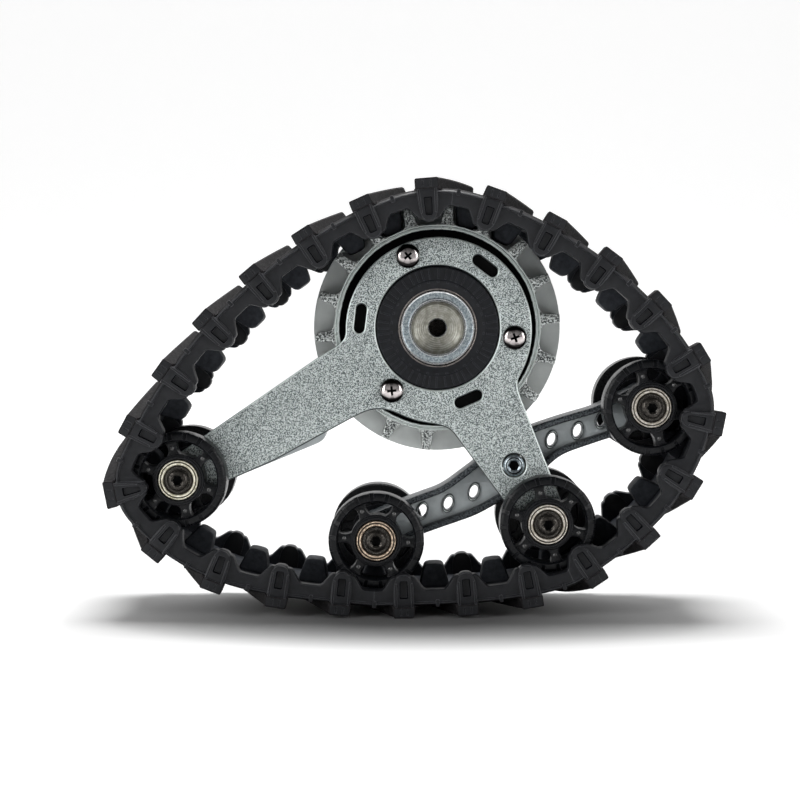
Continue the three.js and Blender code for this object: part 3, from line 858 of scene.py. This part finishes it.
def side_plate(face, side):
    holes = [circle(HUB, PLATE_BORE, 96), circle(PIVOT, 3.35, 32)]
    holes += [circle(middle(f"{face}_plate_screw_{i}"), 1.8, 20) for i in (1, 2, 3)]
    holes += [slot_outline(a) for a in SLOT_ANGLES]
    holes += [circle(AXLE[name], 2.75, 24) for name in ("left_idler", "low_idler")]
    outline = rounded(plate_outline(), 2.2, 4)
    shape = Shape()
    shape.slab(outline, PLATE_IN * side, PLATE_OUT * side, holes, bevel=0.42, face=0, side=1, steps=3)
    shape.make(f"{face}_side_plate", "frame", "plate_metal", PLATE, PLATE_EDGE)


# ---------------------------------------------------------------- hub, bearings, carriers
RACE_R = 10.5


def carrier(face, side):
    """A black ring in the plate's bore, with a stepped inner lip and fine radial ribs."""
    seat = RACE_R + GAP
    bore = PLATE_BORE - GAP
    profile = [
        (seat, 9.0), (seat + 0.2, 9.2), (12.1, 9.25), (12.5, 9.45), (13.2, 9.45), (13.5, 9.2),
        (bore - 0.35, 9.2), (bore, 8.9), (bore, 6.9), (24.7, 6.9), (25, 6.6), (25, 5.2), (24.7, 4.9),
        (seat + 0.3, 4.9), (seat, 5.2),
    ]
    # Material 1, the near-black shade colour, goes on the carrier's outer wall and flange in the gap behind
    # the plate: painted shade.
    marks = [0] * 8 + [1] * 4 + [0] * 3
    shape = Shape().lathe(profile, HUB, marks, side, 144)
    for k in range(48):
        degrees = 7.5 * k + 1.5 * math.sin(5 * k)
        a, b = polar(13.7, degrees, HUB), polar(bore - 0.5, degrees, HUB)
        across = polar(0.2, degrees + 90)
        bar = [(p[0] + q * across[0], p[1] + q * across[1]) for p, q in ((a, -1), (b, -1), (b, 1), (a, 1))]
        shape.slab(bar, 9.0 * side, (9.38 + 0.08 * (k % 3)) * side, bevel=0.06, steps=1)
    for k in range(30):
        degrees = 12 * k + 4
        dash = [polar(12.7, degrees, HUB), polar(13.15, degrees, HUB), polar(13.15, degrees + 3, HUB),
                polar(12.7, degrees + 3, HUB)]
        shape.slab(dash, 9.2 * side, 9.55 * side, bevel=0.05, steps=1)
    shape.make(f"{face}_bearing_carrier", "frame", "carrier_plastic", CARRIER, PAINTED_SHADE)


def hub_bearing(face, side):
    outer = [
        (8.3, 8.75), (8.4, 8.85), (9.65, 8.85), (9.85, 9.2), (10.15, 9.25), (10.4, 8.95), (10.4, 5.4),
        (10.2, 5.2), (9.6, 5.2), (8.3, 5.6),
    ]
    marks = [1] * 2 + [0] * 6 + [1] * 2
    shape = Shape().lathe(outer, HUB, marks, side, 120)
    clip = [(10.62, 8.9), (10.68, 9.2), (10.8, 9.3), (10.95, 9.3), (11.05, 9.15), (11.05, 8.9)]
    shape.lathe(clip, HUB, 2, side, 120)
    shape.make(f"{face}_hub_bearing_outer_race", "frame", "bright_steel", STEEL, RACE_FACE, COPPERY)
    inner = [
        (7.7, 9.0), (7.85, 9.3), (8.1, 9.3), (8.28, 9.0), (8.25, 5.4), (8.1, 5.2), (7.9, 5.2), (7.7, 5.4),
    ]
    Shape().lathe(inner, HUB, 0, side, 120).make(
        f"{face}_hub_bearing_inner_race", "drive", "bright_steel", STEEL)


def drive_hub():
    """A turned hub: a dished cup at the front with a hole in its middle, whose wall is painted dark as shade.
    """
    profile = [
        (7.6, -8.9), (7.57, -9.05), (7.5, -9.05), (7.4, -8.9), (7.2, -8.2), (6.7, -7.6), (5.7, -7.2),
        (4.4, -6.9), (3.3, -6.75), (2.7, -6.7), (2.45, -6.4), (2.3, 9.4), (7.2, 9.4), (7.6, 9.1),
    ]
    marks = [0] * 3 + [1] * 6 + [0, 2, 0, 0, 0]
    Shape().lathe(profile, HUB, marks, 1, 144).make("drive_hub", "drive", "bright_steel", STEEL, TURNED, PAINTED_SHADE)


def hex_adapter():
    """The drive side: a round boss with a 12 mm hex socket."""
    flats = 12.2
    edge = flats / 2
    profile = [
        (0, 9.7), (8.6, 9.7), (8.9, 10.0), (8.9, 14.3), (8.5, 14.7), (7.4, 14.7), (edge, 14.5),
        (edge - 0.01, 10.7), (2.0, 10.7), (0, 10.6),
    ]

    def shaped(r, y, angle):
        return hexagon(flats)(r, y, angle) if r > 5 and y > 10.6 else (r, y)

    # The bottom of the hex socket takes the near-black shade colour: painted shade.
    marks = [0] * 7 + [1, 1, 0]
    Shape().lathe(profile, HUB, marks, steps=144, shaped=shaped).make(
        "hex_drive_adapter", "drive", "dark_steel", DARK_STEEL, PAINTED_SHADE)


# ---------------------------------------------------------------- sprocket
def rib_ring():
    """The toothed outline: narrow ribs, with small fillets where they meet the ring."""
    tip, root = 34.5, 29.0
    points = []
    for i in range(RIBS):
        flank = []
        for t in (0, 0.3, 0.6, 0.72, 0.8, 0.87, 0.93, 0.97, 1):
            r = tip - (tip - root) * t
            half = 1.15 + 0.6 * t + 1.9 * (max(0, t - 0.72) / 0.28) ** 3
            flank.append((r, math.degrees(half / r)))
        middle_angle = RIB_PHASE + i * 360 / RIBS
        points += [polar(r, middle_angle - a, HUB) for r, a in flank[::-1]]
        points += [polar(r, middle_angle + a, HUB) for r, a in flank]
    return points


def sprocket():
    shape = Shape()
    shape.slab(rib_ring(), -6.6, 4.8, [circle(HUB, 28.0, 120)], bevel=0.4, face=0, side=0, steps=2)
    lip = [
        (27.5, -6.5), (27.65, -6.95), (28.05, -6.95), (28.2, -6.6), (28.4, -6.6), (28.55, -6.9),
        (28.85, -6.9), (29.0, -6.5), (28.9, -5.5), (27.5, -5.5),
    ]

    def rough_cast(r, y, angle):
        return r + 0.09 * math.sin(23 * angle) * math.sin(37 * angle), y

    shape.lathe(lip, HUB, 2, 1, 144, rough_cast)
    shape.slab(circle(HUB, DISC_R + 0.25, 144), 4.5, 6.9, [circle(HUB, 27.0, 96)], bevel=0.3, face=1, side=1)
    # The web inside the drum takes the near-black shade colour (mark 3): painted shade.
    web = [(7.8, -1.5), (28.3, -1.5), (28.3, 1.5), (7.8, 1.5)]
    shape.lathe(web, HUB, 3, 1, 96)
    shape.make("drive_sprocket", "drive", "cast_metal", SPARKLE, SMOOTH, PLATE_EDGE, PAINTED_SHADE, sharp=30)


# ---------------------------------------------------------------- rocker
ARM = [
    (-18.0, -65.1), (-3.9, -58.3), (11.0, -53.1), (17.6, -49.4), (27.5, -43.4), (32.4, -37.9),
    (36.2, -35.3), (48.6, -31.1), (61.3, -27.7), (56.6, -16.0), (44.8, -22.3), (35.7, -24.9),
    (26.9, -27.8), (15.5, -33.8), (10.4, -38.2), (1.3, -45.0), (-7.8, -48.3), (-20.3, -53.5),
]
ARM_HOLES = [(-4.2, -52.3), (3.2, -50.1), (10.5, -46.8), (32.6, -31.8), (40.0, -29.3), (46.7, -26.2)]
ARM_HALF, ARM_WEB, ARM_RIM = 5.5, 1.4, 1.8


def oval(place, scale=1.0, tilt=15):
    """An upright oval hole, leaning a little with the arm."""
    c, s = math.cos(math.radians(-tilt)), math.sin(math.radians(-tilt))
    points = [(1.2 * scale * x, 1.95 * scale * z) for x, z in circle((0, 0), 1, 32)]
    return [(place[0] + c * x - s * z, place[1] + s * x + c * z) for x, z in points]


def rocker_arm():
    outline = rounded([about_hub(*p) for p in ARM], 3.0, 5)
    shape = Shape()
    inside = inset(outline, ARM_RIM).tolist()
    shape.slab(outline, -ARM_HALF, ARM_HALF, [inside], bevel=0.5, face=1, side=1, steps=3)
    holes = [about_hub(*p) for p in ARM_HOLES]
    openings = [oval(p, 1.3) for p in holes] + [circle(PIVOT, 4.95)]
    web = inset(outline, ARM_RIM - 0.5).tolist()
    shape.slab(web, -ARM_WEB, ARM_WEB, openings, bevel=0.1, face=2, side=2)
    for place in holes:
        shape.slab(oval(place, 1.45), -2.1, 2.1, [oval(place, 1.0)], bevel=0.3, face=3, side=1, steps=2)
    boss = [
        (4.9, -6.5), (5.1, -6.7), (7.0, -6.7), (7.4, -6.3), (7.4, 6.3), (7.0, 6.7), (5.1, 6.7), (4.9, 6.5),
    ]
    shape.lathe(boss, PIVOT, 1, 1, 64)
    ends = [
        (2.8, -9.2), (4.9, -9.2), (5.2, -8.9), (5.2, -5.9), (6.0, -5.5), (6.3, -5.2), (6.3, 5.2), (6.0, 5.5),
        (5.2, 5.9), (5.2, 8.9), (4.9, 9.2), (2.8, 9.2),
    ]
    for name in ("left_road", "right_road"):
        shape.lathe(ends, AXLE[name], 1, 1, 48)
    shape.make("rocker_arm", "rocker", "cast_metal", SMOOTH, ARM_CAST, WEB, PLATE_EDGE)


# ---------------------------------------------------------------- small turned pieces
def tube(node, body, slot, material, centre, inner, outer, half):
    bevel = 0.25
    profile = [
        (inner, -half + bevel), (inner + bevel, -half), (outer - bevel, -half), (outer, -half + bevel),
        (outer, half - bevel), (outer - bevel, half), (inner + bevel, half), (inner, half - bevel),
    ]
    Shape().lathe(profile, centre, 0, 1, 48).make(node, body, slot, material)


def plate_screw(node, side, turned):
    """A pan-head screw with a cross recess."""
    slot_r, slot_half = 1.3, 0.34
    profile = [
        (0, 5.2), (1.1, 5.2), (1.4, 5.5), (1.4, 9.25), (3.25, 9.25), (3.42, 9.45), (3.38, 9.9), (3.15, 10.4),
        (2.7, 10.85), (2.05, 11.15), (slot_r, 11.3), (slot_r - 0.15, 10.7), (0.5, 10.1), (0, 10.0),
    ]
    # The cross recess takes the near-black shade colour: painted shade.
    marks = [0] * 10 + [1, 1, 1, 0]

    def shaped(r, y, angle):
        if y < 9.6 or r > slot_r + 1e-6 or (r, y) == (0, 5.2):
            return r, y
        return cross(slot_r, slot_half, turned)(r, y, angle)

    Shape().lathe(profile, middle(node), marks, side, 96, shaped).make(
        node, "frame", "bright_steel", NICKEL, PAINTED_SHADE, sharp=40)


def socket_screw(node, body, side, tip, shank_r, seat, head_r, top, bright=False):
    """A button-head screw with a hex socket. A bright one has a groove round it. The socket, and the groove
    of a bright one, are painted dark as shade.
    """
    material = RACE_FACE if bright else DARK_STEEL
    flats = 2.6
    edge = flats / 2
    profile = [
        (0, tip), (shank_r - 0.3, tip), (shank_r, tip + 0.3), (shank_r, seat), (head_r - 0.2, seat),
        (head_r, seat + 0.2), (head_r - 0.05, top - 0.75), (head_r - 0.45, top - 0.25),
        (head_r - 0.9, top - 0.05), (edge + 0.45, top), (edge, top - 0.3), (edge - 0.02, top - 1.5),
        (0.5, top - 1.9), (0, top - 1.95),
    ]
    marks = [0] * 10 + [1, 1, 1, 0]
    if bright:
        profile[8:9] = [
            (head_r - 0.75, top - 0.1), (head_r - 0.8, top - 0.4), (head_r - 1.0, top - 0.4),
            (head_r - 1.05, top - 0.1),
        ]
        marks[8:8] = [1, 1, 1]

    def shaped(r, y, angle):
        return hexagon(flats)(r, y, angle) if y > seat else (r, y)

    shape = Shape().lathe(profile, middle(node), marks, side, 96, shaped)
    shape.make(node, body, "dark_steel", material, PAINTED_SHADE)


def axle(name, body):
    profile = [
        (0, -11), (1.6, -11), (1.6, -16.2), (1.8, -16.4), (2.25, -16.4), (2.5, -16.15), (2.5, 16.15),
        (2.25, 16.4), (1.8, 16.4), (1.6, 16.2), (1.6, 11), (0, 11),
    ]
    Shape().lathe(profile, AXLE[name], 0, 1, 40).make(f"{name}_axle", body, "dark_steel", DARK_STEEL)


def spacer_block():
    outline = [(-60, -43.4), (-33.2, -32.3), (-31.6, -31.0), (-31.4, -28.6), (-34.8, -23.3), (-63.4, -35.1)]
    points = rounded([about_hub(*p) for p in outline], 1.2, 4)
    Shape().slab(points, -6.9, 6.9, bevel=0.4).make("arm_spacer_block", "frame", "plate_metal", WEB)


# ---------------------------------------------------------------- wheels
SPOKES = 6
NOTCHES = 18
SPOKE_PHASE = {"left_idler": 41.5, "left_road": 56, "low_idler": 43.8, "right_road": 45}


def wheel(face, side, name):
    """A moulded wheel: notched rim, six spokes with pin marks, and a ring round the bearing."""
    node = f"{face}_{name}_wheel"
    at = AXLE[name]
    phase = SPOKE_PHASE[name]
    rim = [
        (10.7, 9.7), (10.9, 9.5), (12.9, 9.5), (13.3, 9.9), (13.3, 15.6), (13.2, 16.1), (12.7, 16.6),
        (12.3, 16.7), (11.2, 16.7), (10.9, 16.45), (10.7, 15.9),
    ]
    if face == "rear":
        rim[:1] = [(10.7, 12.8), (7.0, 12.8), (7.0, 12.0), (10.7, 12.0)]
    step = 360 / NOTCHES
    marks_at = [phase + step * k + d for k in range(NOTCHES) for d in (-3.0, -2.3, 2.3, 3.0, 6.5, 10, 13.5)]

    def notched(r, y, angle):
        off = abs((math.degrees(angle) - phase + step / 2) % step - step / 2)
        if off > 2.5 or y < 12 or r < 11.6 or r > 13.25:
            return r, y
        return r, y - 0.45

    shape = Shape().lathe(rim, at, 0, side, shaped=notched, angles=[math.radians(a) for a in marks_at])
    ring = [
        (5.8, 12.6), (6.1, 12.4), (7.1, 12.4), (7.2, 12.6), (7.2, 15.9), (6.95, 16.25), (6.6, 16.3),
        (6.35, 16.65), (6.0, 16.65), (5.8, 16.4),
    ]
    shape.lathe(ring, at, 0, side, 72)
    back = [(3.2, 9.8), (7.2, 9.8), (7.2, 12.6), (3.2, 12.4)]
    shape.lathe(back, at, 0, side, 48)
    for k in range(SPOKES):
        degrees = phase + k * 360 / SPOKES
        spoke = [
            polar(6.9, degrees - 19, at), polar(7.6, degrees - 11, at), polar(8.7, degrees - 7.6, at),
            polar(9.8, degrees - 7.2, at), polar(11.0, degrees - 9.5, at), polar(11.0, degrees + 9.5, at),
            polar(9.8, degrees + 7.2, at), polar(8.7, degrees + 7.6, at), polar(7.6, degrees + 11, at),
            polar(6.9, degrees + 19, at),
        ]
        shape.slab(rounded(spoke, 0.4, 3), 10.4 * side, 15.6 * side, bevel=0.3)
        pin = [(0, 15.5), (0.5, 15.5), (0.55, 15.8), (0.3, 15.95), (0, 15.85)]
        shape.lathe(pin, polar(8.9, degrees, at), 1, side, 16)
    shape.make(node, f"{face}_{name}", "wheel_plastic", NYLON, PIN)


def wheel_bearing(face, side, name):
    """Two bright rings with a dark line between them, round a dark stepped inner race."""
    race = {"left_idler": OLIVE, "left_road": COPPER}.get(name, BRASSY)
    outer = [
        (4.1, 16.2), (4.15, 16.45), (4.3, 16.6), (4.7, 16.6), (4.8, 16.45), (4.85, 16.3), (5.0, 16.3),
        (5.05, 16.45), (5.15, 16.6), (5.35, 16.6), (5.5, 16.4), (5.5, 12.9), (5.3, 12.7), (4.3, 12.7),
        (4.1, 12.9),
    ]
    marks = [0] * 4 + [1] * 3 + [0] * 8
    shape = Shape().lathe(outer, AXLE[name], marks, side, 72)
    shield = [(3.7, 15.9), (4.15, 16.0), (4.15, 13.1), (3.7, 13.1)]
    shape.lathe(shield, AXLE[name], 1, side, 72)
    inner = [
        (2.8, 16.3), (3.0, 16.5), (3.3, 16.5), (3.45, 16.25), (3.65, 16.25), (3.8, 16.1), (3.8, 12.9),
        (3.6, 12.7), (2.8, 12.7),
    ]
    shape.lathe(inner, AXLE[name], 2, side, 72)
    shape.make(f"{face}_{name}_bearing", f"{face}_{name}", "bright_steel", race, SHIELD, DARK_STEEL)


# ---------------------------------------------------------------- everything
camera()
studio()
floor()
floor_glow()
painted_floor_shadow()
build_belt()
sprocket()
drive_hub()
hex_adapter()
rocker_arm()
spacer_block()
for name in AXLES:
    axle(name, "rocker" if name.endswith("road") else "frame")
for name in ("left_idler", "low_idler"):
    tube(f"{name}_spacer", "frame", "plate_metal", SMOOTH, AXLE[name], 2.8, 4.5, 6.9)
tube("rocker_pivot_pin", "frame", "bright_steel", STEEL, PIVOT, 1.7, 3.0, 6.9)
tube("rocker_pivot_bush", "rocker", "bush_bronze", BRONZE, PIVOT, 3.3, 4.6, 6.4)
CROSS_TURNS = {1: 20, 2: 40, 3: 5}
for face, side in SIDES:
    side_plate(face, side)
    carrier(face, side)
    hub_bearing(face, side)
    for i, turned in CROSS_TURNS.items():
        plate_screw(f"{face}_plate_screw_{i}", side, turned)
    socket_screw(f"{face}_pivot_screw", "frame", side, 3.0, 1.4, 7.2, 3.1, 9.5, bright=True)
    for name in AXLES:
        body = "rocker" if name.endswith("road") else "frame"
        wheel(face, side, name)
        wheel_bearing(face, side, name)
        socket_screw(f"{face}_{name}_screw", body, side, 12.0, 1.3, 16.9, 3.0, 18.4)
